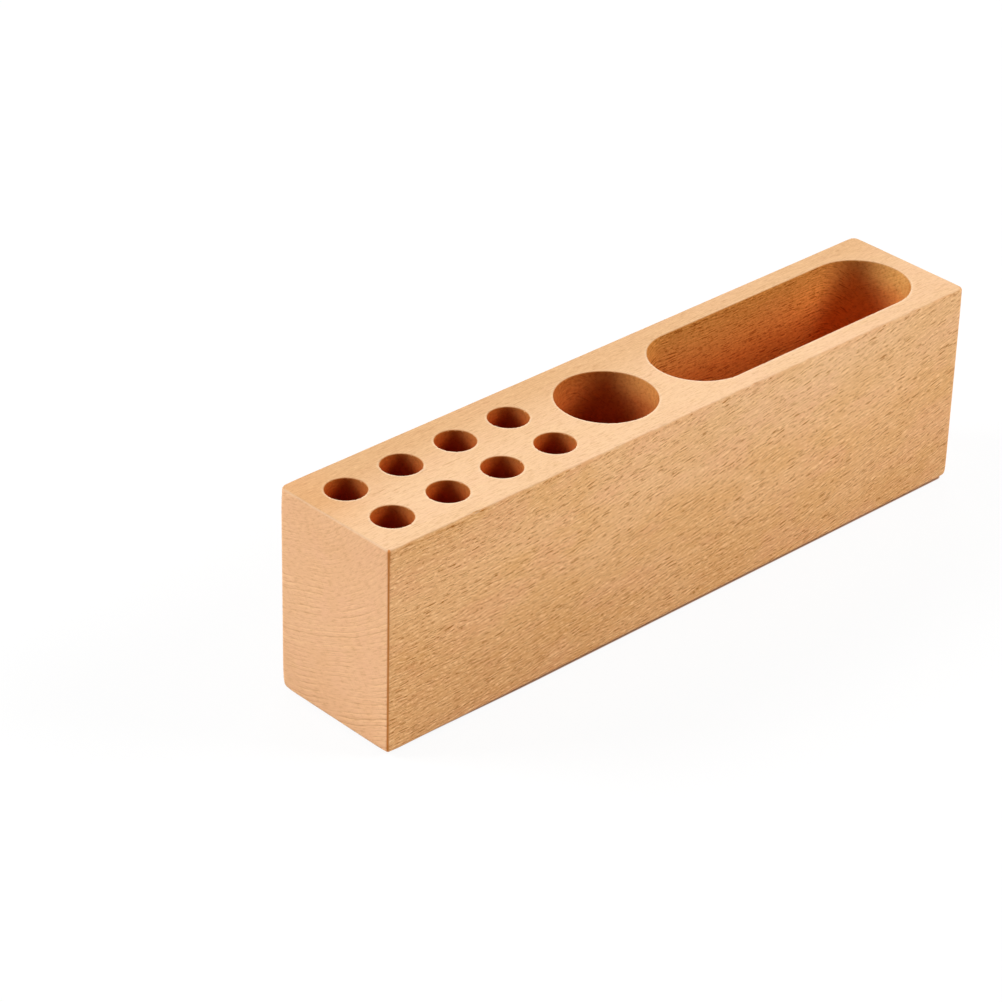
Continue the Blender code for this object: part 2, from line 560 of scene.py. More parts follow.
def cut_hollow(outline, width, chips, floor, scorch):
    """The skin of one hollow. Returns the ring of its mouth, which lies in the top face."""
    points, directions = outline
    chip_count, chip_size = chips
    broken = RIM_EASE + rim_chips(points, chip_count, chip_size)
    # A painted highlight on the rim, strongest on the side that faces the camera.
    lit_side = np.clip(EVEN_HIGHLIGHT + (1 - EVEN_HIGHLIGHT) * directions @ NEAR_SIDE, LEAST_HIGHLIGHT, 1.0)
    rings = []

    def ring(move, z, **worn):
        rings.append(add_ring(points, directions, move, z, **worn))

    ring(broken + RIM_BAND, TOP_Z)
    ring(broken + RIM_BAND / 2, TOP_Z, rim_wear=BAND_HIGHLIGHT * lit_side)
    for i, turn in enumerate(quarter_turn(RIM_STEPS)):
        out = broken * (1 - math.sin(turn))
        down = broken * (1 - math.cos(turn))
        share = (i / RIM_STEPS) ** 2
        # Painted shade on the rounded rim, growing towards the wall.
        dimmed = UPPER_HOLE_SHADE * scorch * share
        ring(out, TOP_Z - down, rim_wear=(1 - share) * lit_side, hollow=share, scorch=dimmed)
    wall_top, wall_foot = TOP_Z - CHIP_CLEAR * chip_size - RIM_EASE, FLOOR_Z + FLOOR_FILLET
    for i in range(WALL_STEPS + 1):
        height = wall_top + (wall_foot - wall_top) * i / WALL_STEPS
        deep = min(1.0, (TOP_Z - height) / (DARK_DEPTH * width))
        # Painted shade on the wall, growing with depth.
        dimmed = scorch * (UPPER_HOLE_SHADE + (1 - UPPER_HOLE_SHADE) * deep)
        ring(0.0, height, hollow=1.0, depth=deep, scorch=dimmed)
    for inward, rise in floor(width / 2):
        ring(-inward, FLOOR_Z + rise, hollow=1.0, depth=1.0, scorch=scorch)
    join_rings(shape, rings[::-1])
    shape.faces.new(rings[-1])
    return rings[0]


# %% Cut all ten
# Each kind of hollow has its outline step, its chips, and how much painted shade darkens its walls.
PEN_STEP = 0.40 * MM
PEN_CHIPS = (7, 0.42 * MM)
PEN_HOLE_SHADE = 1.0
WIDE_STEP = 0.50 * MM
CUP_CHIPS = (7, 0.35 * MM)
CUP_HOLE_SHADE = 0.76
SLOT_CHIPS = (14, 0.40 * MM)
SLOT_HOLE_SHADE = 0.0

mouths = []
for x, y in pen_places:
    pen_outline = cut_outline(x, y, PEN_BORE, 0.0, PEN_STEP)
    mouths.append(cut_hollow(pen_outline, PEN_BORE, PEN_CHIPS, round_floor, PEN_HOLE_SHADE))
cup_outline = cut_outline(cup_x, 0.0, CUP_BORE, 0.0, WIDE_STEP)
mouths.append(cut_hollow(cup_outline, CUP_BORE, CUP_CHIPS, round_floor, CUP_HOLE_SHADE))
slot_outline = cut_outline(slot_x, 0.0, slot_width, slot_straight, WIDE_STEP)
mouths.append(cut_hollow(slot_outline, slot_width, SLOT_CHIPS, routed_floor, SLOT_HOLE_SHADE))
print("hollows:", len(mouths), "with", len(shape.faces), "faces")

# %% [markdown]
# The outside is one wall of rings with a rounded edge above and below. Four things are laid on it, and
# each is a list with one value for every point of the outline. The sander wandered a little. The long
# top edge was knocked a few times: each nick has a place, a reach and a depth, in millimetres. The lower
# and upper corners are worn soft, each by its own amount, in the order of their radii. And the two front
# corners get a dark line of painted shade down their rounding.

# %% Wear the outside
SANDING = 0.06 * MM
SANDING_SCALE = 9 * MM
SANDING_SEED = 4.0
ON_FACE = 0.9
EDGE_NICKS = (
    (-84.0, 0.9, 0.45),
    (-31.0, 0.6, 0.3),
    (24.5, 1.0, 0.5),
    (47.0, 0.6, 0.35),
    (92.0, 0.7, 0.3),
)
WEAR_ALONG = 6.0 * MM
CORNER_SOFT = (0.45, 0.6, 1.0, 0.5)
# A dark line of painted shade down the rounding of the two front upright corners, weaker at the right one.
DARK_EDGE_MIDDLE = 0.5
DARK_EDGE_REACH = 0.40
RIGHT_DARK_EDGE = 0.42

skin_points, skin_directions = block_outline(0.0)
skin_x, skin_y = skin_points.T
right_side, front_side = skin_x > 0, skin_y < 0
on_front, on_back = skin_directions[:, 1] < -ON_FACE, skin_directions[:, 1] > ON_FACE
on_left_end = skin_directions[:, 0] < -ON_FACE

uneven = SANDING + wander(skin_points, SANDING, SANDING_SCALE, SANDING_SEED)
nicks = np.zeros(len(skin_points))
for nick_x, reach, depth in EDGE_NICKS:
    near = np.clip(1 - ((skin_x / MM - nick_x) / reach) ** 2, 0, 1)
    nicks += depth * MM * near * on_front
from_corner = np.maximum(BLOCK_LENGTH / 2 - np.abs(skin_x), BLOCK_WIDTH / 2 - np.abs(skin_y))
at_corner = np.clip(1 - from_corner / WEAR_ALONG, 0, 1) ** 2
corner_number = np.select([right_side & front_side, right_side, ~front_side], [0, 1, 2], 3)
at_corner *= np.array(CORNER_SOFT)[corner_number]
turned = np.abs(np.arctan2(skin_directions[:, 1], np.abs(skin_directions[:, 0]))) / (math.pi / 2)
# Painted shade down the middle of each front corner's rounding, weaker at the right one.
burnish = np.clip(1 - np.abs(turned - DARK_EDGE_MIDDLE) / DARK_EDGE_REACH, 0, 1)
burnish *= np.where(skin_x < 0, 1.0, RIGHT_DARK_EDGE) * front_side
print("outside:", len(skin_points), "points round it, knocked at", len(EDGE_NICKS), "places")

# %% [markdown]
# The top edge has a colour of its own on each side. Its back run is painted tan, its front run is painted
# tan in patches as a shadow under the edge, and the run over the left end gets a painted highlight.

# %% Wrap the outside
EDGE_STEPS = 6
SIDE_STEPS = 20
UPPER_ROUND = 0.58 * MM
LOWER_ROUND = 1.50 * MM
UPPER_SOFT = 0.22 * MM
LOWER_SOFT = 0.80 * MM
WEAR_DOWN = 9.0 * MM
SIDE_START = 3.2 * MM
KNOCK_SHARE = 0.7
# The top edge is painted tan all along the back, and in patches along the front as painted shadow under the
# edge.
BACK_TAN = 0.40
FRONT_TAN = 0.22
TAN_SWING = 1.2
TAN_SCALE = 3 * MM
TAN_SEED = 8.0
# A painted highlight on the top edge over the left end.
END_HIGHLIGHT = 0.45


def skin_ring(inset, z, dent=0.0, tan=0.0, pale=0.0):
    to_end = min(np.min(z) - block_low.z, TOP_Z - np.max(z))
    points, directions = block_outline(inset, max(1 - to_end / WEAR_DOWN, 0) ** 2)
    return add_ring(points, directions, -dent, z, burnish=burnish + tan, rim_wear=pale)


tan_patches = np.clip(0.5 + wander(skin_points, TAN_SWING, TAN_SCALE, TAN_SEED), 0, 1)
# Tan at the back of the top edge, and painted shadow in patches under its front.
tan_edge = BACK_TAN * on_back + FRONT_TAN * on_front * tan_patches
rings = []
for turn in quarter_turn(EDGE_STEPS):
    inset = LOWER_ROUND * (1 - math.sin(turn))
    rise = (LOWER_ROUND + LOWER_SOFT * at_corner) * (1 - math.cos(turn))
    dent = LOWER_SOFT * at_corner * (1 - math.sin(turn)) + uneven * math.sin(turn)
    rings.append(skin_ring(inset, block_low.z + rise, dent))
side_foot, side_top = block_low.z + SIDE_START, TOP_Z - SIDE_START
for i in range(SIDE_STEPS + 1):
    rings.append(skin_ring(0.0, side_foot + (side_top - side_foot) * i / SIDE_STEPS))
for turn in quarter_turn(EDGE_STEPS):
    inset = UPPER_ROUND * (1 - math.cos(turn))
    fall = (UPPER_ROUND + UPPER_SOFT * at_corner) * (1 - math.sin(turn))
    worn_edge = math.sin(2 * turn)
    knock = KNOCK_SHARE * nicks * worn_edge
    dent = UPPER_SOFT * at_corner * (1 - math.cos(turn)) + uneven * worn_edge + knock
    # A painted highlight on the top edge over the left end.
    pale = END_HIGHLIGHT * on_left_end * worn_edge
    rings.append(skin_ring(inset, TOP_Z - fall - knock, dent, tan_edge * worn_edge, pale))
join_rings(shape, rings)
shape.faces.new(rings[0][::-1])
print("outside made of", len(rings), "rings")

# %% [markdown]
# The top is one flat sheet between the outer edge and the ten mouths. Strips of faces laid by hand would
# have to find their way between the mouths. A triangulation that keeps every border edge does it in one
# step. It fills the mouths too, so a triangle with all its corners on one mouth and its middle inside
# that mouth is left out.

# %% Close the top
TRIANGLES_ONLY = 1
SAME_POINT = 1e-5
OUTER_BORDER = 0


def lies_inside(point, loop):
    """Counts the sides of the loop that lie to the right of the point. An odd count is inside."""
    x, y = loop.T
    next_x, next_y = np.roll(loop, -1, axis=0).T
    crosses = (y > point[1]) != (next_y > point[1])
    with np.errstate(divide="ignore", invalid="ignore"):
        at = x + (point[1] - y) / (next_y - y) * (next_x - x)
    return np.count_nonzero(crosses & (at > point[0])) % 2 == 1


borders = [rings[-1], *mouths]
border_verts = [vertex for border in borders for vertex in border]
flat_points = [vertex.co.xy / MM for vertex in border_verts]
loops = [np.array([vertex.co.xy / MM for vertex in border]) for border in borders]
border_edges = []
border_of = []
for number, border in enumerate(borders):
    start = len(border_of)
    border_edges += [(start + i, start + (i + 1) % len(border)) for i in range(len(border))]
    border_of += [number] * len(border)
_, _, triangles, origins, _, _ = geometry.delaunay_2d_cdt(
    flat_points, border_edges, [], TRIANGLES_ONLY, SAME_POINT
)
before_top = len(shape.faces)
for triangle in triangles:
    corners = [origins[i][0] for i in triangle]
    touched = {border_of[i] for i in corners}
    middle = np.mean([flat_points[i] for i in corners], axis=0)
    on_one_mouth = len(touched) == 1 and OUTER_BORDER not in touched
    if not (on_one_mouth and lies_inside(middle, loops[min(touched)])):
        shape.faces.new([border_verts[i] for i in corners])
print("top sheet made of", len(shape.faces) - before_top, "of", len(triangles), "triangles")

# %% [markdown]
# The faces are turned to point outwards and shaded smooth. A weighted-normal modifier then lets each
# large flat face decide the shading at its border, so that a rounded edge doesn't bleed into it.

# %% Make the block
LARGE_FACES_FIRST = 80

bmesh.ops.recalc_face_normals(shape, faces=shape.faces)
block_mesh = bpy.data.meshes.new("bored_block")
shape.to_mesh(block_mesh)
shape.free()
block_mesh.shade_smooth()
block = add_object("bored_block", block_mesh)
flat_faces = block.modifiers.new("flat_faces", "WEIGHTED_NORMAL")
flat_faces.weight = LARGE_FACES_FIRST
flat_faces.keep_sharp = True
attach(block, "root")
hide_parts("beech_block")
print("block:", len(block_mesh.vertices), "vertices,", len(block_mesh.polygons), "faces")

# %% [markdown]
# ## Beech, grown in three dimensions
#
# A picture of grain wrapped on a box never meets at the corners. So the beech is grown as a solid: each
# point of the surface asks where it lay in the log. The heart of the log ran along the block, above it
# and behind it. The distance from the heart says which year's ring a point is in, and the angle round
# the heart says which ray it may be in. A slow noise moves every place a little, because no tree is
# straight. All sizes in the wood are in millimetres.

# %% Helpers for the wood
beech = bpy.data.materials.new("oiled_beech")
wood = empty_tree(beech)
place = in_mm(wood, place_on_piece(wood))
HALF = (0.5, 0.5, 0.5)


def times(first, second):
    return calc(wood, "MULTIPLY", first, second)


def plus(base, value, amount):
    """The base, and so much of a value on top of it."""
    return calc(wood, "MULTIPLY_ADD", value, amount, base)


def less(first, second):
    return calc(wood, "SUBTRACT", first, second)


def fade(value, start, end):
    return step_between(wood, value, start, end)


def grain_noise(where, per_mm, shift=(0.0, 0.0, 0.0), detail=2.0, roughness=0.5, output="Fac"):
    """Noise with so many swings per millimetre along each axis."""
    return soft_noise(wood, stretch(wood, where, per_mm, shift), 1.0, detail, roughness)[output]


def sway(where, per_mm, reach):
    """Places moved to and fro along each axis, by noise that is laid out on the block."""
    swing = vector_calc(wood, "SUBTRACT", grain_noise(place, per_mm, detail=1.0, output="Color"), HALF)
    return vector_calc(wood, "MULTIPLY_ADD", swing, reach, where)


def grey_curve(value, ends, stops, interpolation="LINEAR"):
    """A curve from 0 to 1, drawn on a colour ramp: (place, height) at each stop."""
    curve = add_node(wood, "ShaderNodeValToRGB", {"Fac": value})
    ramp = curve.color_ramp
    ramp.interpolation = interpolation
    for end in ramp.elements:
        end.color = (ends, ends, ends, 1)
    for at, grey in stops:
        ramp.elements.new(at).color = (grey, grey, grey, 1)
    return curve.outputs["Color"]


# %% Find each point's place in the log
HEART_Y = 37.0
HEART_Z = 120.0
MEAN_RADIUS = 95.0

drifted = sway(place, per_mm=(0.008, 0.03, 0.03), reach=(0.0, 5.0, 5.0))
axes = axes_of(wood, drifted)
across = less(HEART_Y, axes["Y"])
below = less(HEART_Z, axes["Z"])
radius = calc(wood, "SQRT", plus(times(below, below), across, across))
around = times(calc(wood, "ARCTAN2", across, below), MEAN_RADIUS)
log_place = add_node(wood, "ShaderNodeCombineXYZ", {"X": axes["X"], "Y": around, "Z": radius}).outputs[0]
print("heart of the log", HEART_Y, "mm behind the middle,", HEART_Z, "mm above the table")

# %% [markdown]
# ### Rings, rays and fibres
#
# A beech ring is pale for most of its width and ends in a thin darker line. A sine wave would make all
# rings alike, so the distance from the heart is cut into years instead, and a curve gives the tone
# within a year. Years differ in width and strength, and the rings come and go in patches.

# %% Draw the rings
RING_WIDTH = 1.60
RING_START = 0.30
RING_CURVE = ((0.10, 0.15), (0.30, 0.42), (0.60, 0.50), (0.78, 0.60), (0.88, 1.0), (0.94, 0.85))
WIDTH_PER_MM = 0.19
WIDTH_SWING = 1.6
WAVE_SWING = 0.7
LEAST_YEAR = 0.5

width_noise = add_node(wood, "ShaderNodeTexNoise", {
    "W": times(radius, WIDTH_PER_MM), "Scale": 1.0, "Detail": 2.0,
}, noise_dimensions="1D").outputs["Fac"]
ring_count = calc(wood, "DIVIDE", radius, RING_WIDTH)
ring_count = plus(ring_count, width_noise, WIDTH_SWING)
ring_count = plus(ring_count, grain_noise(place, (0.02, 0.11, 0.11), detail=3.0), WAVE_SWING)
ring_year = calc(wood, "FLOOR", ring_count)
year_lot = add_node(wood, "ShaderNodeTexWhiteNoise", {"W": ring_year}, noise_dimensions="1D")
year_strength = plus(LEAST_YEAR, year_lot.outputs["Value"], 1.0)
ring_patch = grain_noise(place, (0.02, 0.11, 0.09), (2.0, 9.0, 4.0), detail=1.0)
year_strength = times(year_strength, fade(ring_patch, 0.34, 0.60))
ring_tone = grey_curve(calc(wood, "FRACT", ring_count), RING_START, RING_CURVE)
ring_swing = times(less(ring_tone, 0.5), year_strength)
late_line = calc(wood, "MAXIMUM", ring_swing, 0.0)
early_line = calc(wood, "MAXIMUM", times(ring_swing, -1.0), 0.0)
print("rings", RING_WIDTH, "mm wide on average")

# %% [markdown]
# How a feature shows depends on how the saw met the grain. On the two ends the rings are clear and the
# rays are faint lines; on the long faces and the top the rays are plain dashes and the rings are soft.

# %% Weigh the grain by the face
facing = axes_of(wood, add_node(wood, "ShaderNodeTexCoord").outputs["Normal"])
facing_end = calc(wood, "ABSOLUTE", facing["X"])
end_grain = fade(facing_end, 0.4, 0.95)
top_face = fade(facing["Z"], 0.5, 0.95)
long_grain = less(1.0, end_grain)
side_face = less(long_grain, top_face)
print("ends, top and long sides told apart,", len(wood.nodes), "nodes so far")

# %% [markdown]
# The fibres don't run quite along the block. On its long sides they climb towards the right end, and
# more steeply the further they go, because the trunk leaned a little. So the rays and the fine lines
# are drawn in a frame of their own that is turned to the radial direction and climbs with them.

# %% Slope the grain
RAY_TILT = 34.4
CLIMB = 0.13
CLIMB_MORE = 0.000425


def mark(name):
    """One of the marks that the points of the skin carry."""
    return add_node(wood, "ShaderNodeAttribute", attribute_name=name).outputs["Fac"]


half_length = BLOCK_LENGTH / 2 / MM
hollow = mark("hollow")
from_right = less(axes["X"], half_length)
from_left = calc(wood, "ADD", axes["X"], half_length)
climb = times(plus(CLIMB, from_left, CLIMB_MORE), from_right)
climb = times(climb, times(side_face, less(1.0, hollow)))
climb_up = add_node(wood, "ShaderNodeCombineXYZ", {"Z": climb}).outputs[0]
ray_frame = add_node(wood, "ShaderNodeMapping", {
    "Vector": vector_calc(wood, "SUBTRACT", drifted, climb_up),
    "Rotation": (math.radians(RAY_TILT), 0.0, 0.0),
}).outputs["Vector"]
ray_place = sway(ray_frame, per_mm=(0.24, 0.45, 0.45), reach=(0.0, 0.4, 0.0))
change = CLIMB_MORE * 2 * half_length
print("grain climbs", round(CLIMB - change, 3), "at the left end,", round(CLIMB + change, 3), "at the right")

# %% [markdown]
# The rays of beech are short dark dashes on the long faces, and fine lines that point at the heart on
# the ends: each is a thin blade, a few millimetres long, standing in the radial direction. They could be
# drawn twice, once for each kind of face. A pattern of cells squeezed to the shape of a blade gives both
# at once. A broad layer and a fine one together look less even than one layer would.

# %% Draw the rays
LEAST_RAY = 0.20
RAY_SPREAD = 0.22
LEAST_TONE = 0.10
TONE_SPREAD = 0.75
FINE_SHARE = 0.85
LOST_ON_ENDS = -0.85
LOST_ON_TOP = -0.65


def ray_layer(length, width, depth, share, shift):
    """Blades of wood in the radial direction, and the pale wood along them. Some cells hold none."""
    cells = add_node(wood, "ShaderNodeTexVoronoi", {
        "Vector": stretch(wood, ray_place, (1 / length, 1 / width, 1 / depth), (shift, shift, shift)),
        "Scale": 1.0,
    })
    lots = add_node(wood, "ShaderNodeSeparateColor", {0: cells.outputs["Color"]}).outputs
    held = calc(wood, "LESS_THAN", lots["Red"], share)
    reach = calc(wood, "DIVIDE", cells.outputs["Distance"], plus(LEAST_RAY, lots["Green"], RAY_SPREAD))
    tone = times(plus(LEAST_TONE, lots["Blue"], TONE_SPREAD), held)
    blade = times(fade(reach, 1.0, 0.7), tone)
    beside = times(fade(reach, 2.0, 1.2), tone)
    return blade, beside


broad_rays, beside_broad = ray_layer(length=5.4, width=0.35, depth=9.0, share=0.68, shift=3.7)
fine_rays, beside_fine = ray_layer(length=4.2, width=0.27, depth=6.0, share=0.80, shift=11.3)
ray_share = plus(plus(1.0, end_grain, LOST_ON_ENDS), top_face, LOST_ON_TOP)
rays = times(calc(wood, "MAXIMUM", broad_rays, times(fine_rays, FINE_SHARE)), ray_share)
beside_rays = times(calc(wood, "MAXIMUM", beside_broad, beside_fine), ray_share)
print("rays in two layers, with", len(wood.nodes), "nodes so far")

# %% [markdown]
# Between the rays, the cut ends of the pores make fine lines that follow each other at an even
# distance, each visible for a few millimetres before it fades. A wave across the grain gives the even
# distance, a slow noise bends it, and a second noise decides where a line shows. On the bent walls of a
# hollow the cutter closed the pores, so few lines are left there.

# %% Draw the lines of the grain
LINE_PITCH = 0.66
LINE_BEND = 14.0
LOST_ON_BENDS = -0.85

line_bend = grain_noise(ray_place, (0.15, 0.85, 0.25))
line_show = grain_noise(ray_place, (1.00, 1.8, 0.30), (4.0, 1.0, 6.0), detail=1.0)
across_grain = axes_of(wood, ray_place)["Y"]
line_turn = plus(times(line_bend, LINE_BEND), across_grain, 2 * math.pi / LINE_PITCH)
line_wave = times(calc(wood, "SINE", line_turn), fade(line_show, 0.36, 0.66))
bent_wall = times(hollow, fade(facing_end, 0.10, 0.45))
line_wave = times(line_wave, plus(1.0, bent_wall, LOST_ON_BENDS))
dark_line = calc(wood, "MAXIMUM", line_wave, 0.0)
dark_line = times(dark_line, dark_line)
pale_line = calc(wood, "MAXIMUM", times(line_wave, -1.0), 0.0)
print("lines", LINE_PITCH, "mm apart")

# %% [markdown]
# The rest of the wood is noise, stretched to the shape of what it stands for. Fibres are long and thin.
# Pores follow the rings, so they are laid out in the log. Speckles and flecks are short, as a cutter or
# sandpaper tears them. Clouds and a blush are the slow change of tone from one part to another.

# %% Draw the fibres and the slow change of tone
fibres = grain_noise(ray_place, (0.20, 3.2, 2.0), detail=3.0, roughness=0.65)
pores = grain_noise(log_place, (0.8, 0.35, 2.4), roughness=0.6)
speckle = grain_noise(place, (0.9, 1.1, 1.1), roughness=0.6)
flecks = grain_noise(place, (0.35, 1.1, 1.1), (5.0, 8.0, 2.0), roughness=0.6)
clouds = grain_noise(place, (0.030, 0.060, 0.060))
blush = grain_noise(place, (0.055, 0.11, 0.11), (7.0, 3.0, 5.0))
print("fibres, pores and slow tones drawn,", len(wood.nodes), "nodes so far")

# %% [markdown]
# The wood is paler in a band of radii through the middle of the plank, and deeper in tone on both
# sides of it.

# %% Draw the pale years
FIRST_RADIUS = 50.0
LAST_RADIUS = 140.0
DEEP_CURVE = ((0.08, 1.0), (0.14, 0.30), (0.19, 0.0), (0.45, 0.0), (0.667, 0.35), (0.91, 0.85))

log_share = add_node(wood, "ShaderNodeMapRange", {
    "Value": radius, "From Min": FIRST_RADIUS, "From Max": LAST_RADIUS,
}).outputs["Result"]
deep_years = grey_curve(log_share, 1.0, DEEP_CURVE, "B_SPLINE")
print("years drawn from", FIRST_RADIUS, "to", LAST_RADIUS, "mm from the heart")

# %% [markdown]
# ### The colour and the finish
#
# Oiled beech runs from straw to a pinkish tan. The tones are laid over each other in the order they lie
# in the wood, so the slow change of tone comes first. Some parts are painted deeper than others: both ends
# of the long sides, the strip under the top edge, the left end of the top and the upper part of the ends.
# Of these, the strip under the top edge is painted shadow, and the right ends of the long faces and the
# top are painted shade where the light falls off. The top gets a pale cream as painted sheen, and the
# upper right of the sides as a painted highlight. Each such part is a kind of face that fades in along
# one or two axes.

# %% Lay the slow tones
PALE_BEECH = (0.845, 0.485, 0.230, 1.0)
ROSE_BEECH = (0.845, 0.455, 0.230, 1.0)
STRAW_BEECH = (0.800, 0.440, 0.182, 1.0)
# A pale cream for the painted sheen on the top and the painted highlight on the upper right of the sides.
SHEEN_CREAM = (0.845, 0.595, 0.390, 1.0)
END_ROSE = (0.825, 0.482, 0.288, 1.0)
DEEP_TINT = (0.830, 0.740, 0.610, 1.0)
BLUSH_SHARE = 0.7
END_SHARE = 0.65
TOP_SHEEN_SHARE = 0.6
UPPER_RIGHT_LIGHT_SHARE = 0.22
DEEPER_PER_MM = -0.0030


def blend(amount, first, second, how="MIX"):
    return blend_colour(wood, amount, first, second, how)


def part_of(face, **limits):
    """The part of a kind of face that fades in along each named axis, from one place to another."""
    for axis, (start, end) in limits.items():
        face = times(fade(axes[axis], start, end), face)
    return face


def layered(base, *layers):
    for value, amount in layers:
        base = plus(base, value, amount)
    return base


true_height = axes_of(wood, place)["Z"]
# A strip of painted shadow just under the top edge.
shadow_under_edge = times(fade(true_height, 63.8, 64.8), fade(true_height, 65.7, 65.2))
left_of_sides = part_of(side_face, X=(-45.0, -110.0))
upper_left = part_of(side_face, Z=(46.0, 62.0), X=(0.0, -90.0))
left_of_top = part_of(top_face, X=(-92.0, -112.0), Y=(-18.0, 6.0))
# Painted shade towards the right end of the long faces and the top, where the light falls off.
right_end_shade = part_of(long_grain, X=(55.0, 110.0))
upper_ends = part_of(end_grain, Z=(48.0, 62.0))
# A painted highlight on the upper right of the long sides.
lit_upper_right = part_of(side_face, Z=(36.0, 58.0), X=(-45.0, 25.0))
# Deeper tone and painted shade, multiplied in together.
deep_tone_and_shade = layered(
    times(times(deep_years, long_grain), plus(1.0, axes["X"], DEEPER_PER_MM)),
    (left_of_sides, 0.38),
    (upper_left, 0.25),
    (left_of_top, 0.32),
    (times(shadow_under_edge, side_face), 0.28),
    (right_end_shade, 0.24),
    (upper_ends, 0.16),
)
colour = blend(fade(clouds, 0.38, 0.62), PALE_BEECH, STRAW_BEECH)
colour = blend(times(fade(blush, 0.45, 0.68), BLUSH_SHARE), colour, ROSE_BEECH)
colour = blend(times(end_grain, END_SHARE), colour, END_ROSE)
# The painted highlight on the upper right of the sides, then the painted sheen on the top.
colour = blend(times(lit_upper_right, UPPER_RIGHT_LIGHT_SHARE), colour, SHEEN_CREAM)
colour = blend(times(top_face, TOP_SHEEN_SHARE), colour, SHEEN_CREAM)
colour = blend(deep_tone_and_shade, colour, DEEP_TINT, "MULTIPLY")
print("slow tones laid,", len(wood.nodes), "nodes so far")

# %% [markdown]
# Then come the grain's own darks and pales: rings, fibres, pores, lines and rays, each as deep as it shows
# on that kind of face. The walls of a hollow are rough, so the grain is stronger there and speckled, but
# painted shade on a wall hides it. Pale wood is blended in, and dark wood is a tint, so that darks stay
# warm.

# %% Lay the grain
RAY_CREAM = (1.000, 0.660, 0.340, 1.0)
DARK_TINT = (0.480, 0.290, 0.090, 1.0)
RING_DEPTH = 0.06
RING_ON_ENDS = 0.46
RING_LOST_ABOVE = -0.45
FIBRE_DEPTH = 0.04
FIBRE_ON_LONG = 0.10
PORE_DEPTH = 0.03
PORE_ON_ENDS = 0.17
LINE_ON_LONG = 0.58
LINE_LOST_ON_TOP = -0.40
MORE_ON_WALLS = 0.25
HIDDEN_BY_HOLE_SHADE = -1.15
WALL_SPECKLE = 0.28
TOP_SPECKLE = 0.05
RAY_DARK = 1.05
RAY_PALE = 0.30
EARLY_SHARE = 1.5
FLECK_DARK = 0.20

# How much painted shade darkens a hollow's wall at each point.
scorch = mark("scorch")
upper_end = fade(axes["Z"], 40.0, 58.0)
ring_depth = times(plus(RING_DEPTH, end_grain, RING_ON_ENDS), plus(1.0, upper_end, RING_LOST_ABOVE))
fibre_depth = plus(FIBRE_DEPTH, long_grain, FIBRE_ON_LONG)
pore_depth = plus(PORE_DEPTH, end_grain, PORE_ON_ENDS)
line_depth = plus(times(long_grain, LINE_ON_LONG), top_face, LINE_LOST_ON_TOP)
# The grain fades where painted shade darkens a hollow's wall.
wall_depth = plus(plus(1.0, hollow, MORE_ON_WALLS), scorch, HIDDEN_BY_HOLE_SHADE)
rough_depth = plus(times(hollow, WALL_SPECKLE), top_face, TOP_SPECKLE)
dark = layered(
    times(late_line, ring_depth),
    (fade(fibres, 0.50, 0.68), fibre_depth),
    (fade(pores, 0.52, 0.66), pore_depth),
    (dark_line, line_depth),
    (rays, RAY_DARK),
)
pale = layered(
    times(early_line, times(ring_depth, EARLY_SHARE)),
    (fade(fibres, 0.50, 0.32), fibre_depth),
    (fade(pores, 0.48, 0.34), pore_depth),
    (pale_line, line_depth),
    (beside_rays, RAY_PALE),
)
dark = plus(times(dark, wall_depth), fade(speckle, 0.48, 0.72), rough_depth)
dark = plus(dark, fade(flecks, 0.55, 0.75), times(top_face, FLECK_DARK))
pale = plus(times(pale, wall_depth), fade(speckle, 0.52, 0.28), rough_depth)
colour = blend(pale, colour, RAY_CREAM)
colour = blend(dark, colour, DARK_TINT, "MULTIPLY")
print("grain laid,", len(wood.nodes), "nodes so far")

# %% [markdown]
# Painted light and shade come last. Rims get a painted highlight. The hollows get painted shade, tinted
# by the warm light bounced between their walls: golden on the long walls, a yellower painted highlight
# on the lit cheeks just under a rim, and red in the depth, brightest at the right end. The round holes get
# painted shade down to a deep brown, and the dark edges, partly painted shade, and the left end of the
# top are painted browner.

# %% Paint shade into the hollows and light onto the rims
# Colours for painted highlights on the rims, painted shade in the hollows, and a darker brown at some edges.
RIM_HIGHLIGHT_PALE = (0.920, 0.720, 0.500, 1.0)
DARKER_BROWN = (0.720, 0.220, 0.025, 1.0)
GOLDEN_TINT = (0.840, 0.620, 0.285, 1.0)
CHEEK_TINT = (0.760, 0.610, 0.310, 1.0)
LIT_CHEEK_TINT = (1.000, 0.940, 0.520, 1.0)
NEAR_RED_TINT = (0.680, 0.275, 0.092, 1.0)
FAR_RED_TINT = (1.000, 0.490, 0.190, 1.0)
HOLE_SHADE_TINT = (0.720, 0.192, 0.000, 1.0)
RIM_HIGHLIGHT_SHARE = 0.60
LESS_ON_CHEEKS = -0.30
DARK_EDGE_SHARE = 0.95
TOP_LEFT_BROWN = 0.13

# A painted highlight on the rims and on the top edge over the left end.
colour = blend(times(mark("rim_wear"), RIM_HIGHLIGHT_SHARE), colour, RIM_HIGHLIGHT_PALE)
depth = mark("depth")
# Painted shade in the hollows: golden near the rim, red in the depth and brighter towards the right end.
deep_shade_tint = blend(fade(axes["X"], 70.0, 97.0), NEAR_RED_TINT, FAR_RED_TINT)
hollow_shade_tint = blend(depth, blend(end_grain, GOLDEN_TINT, CHEEK_TINT), deep_shade_tint)
# A painted highlight on the lit cheeks just under a rim.
lit_cheek = times(fade(facing_end, 0.72, 1.0), fade(depth, 0.55, 0.05))
lit_cheek = times(lit_cheek, fade(scorch, 0.64, 0.54))
hollow_shade_tint = blend(lit_cheek, hollow_shade_tint, LIT_CHEEK_TINT)
colour = blend(hollow, colour, hollow_shade_tint, "MULTIPLY")
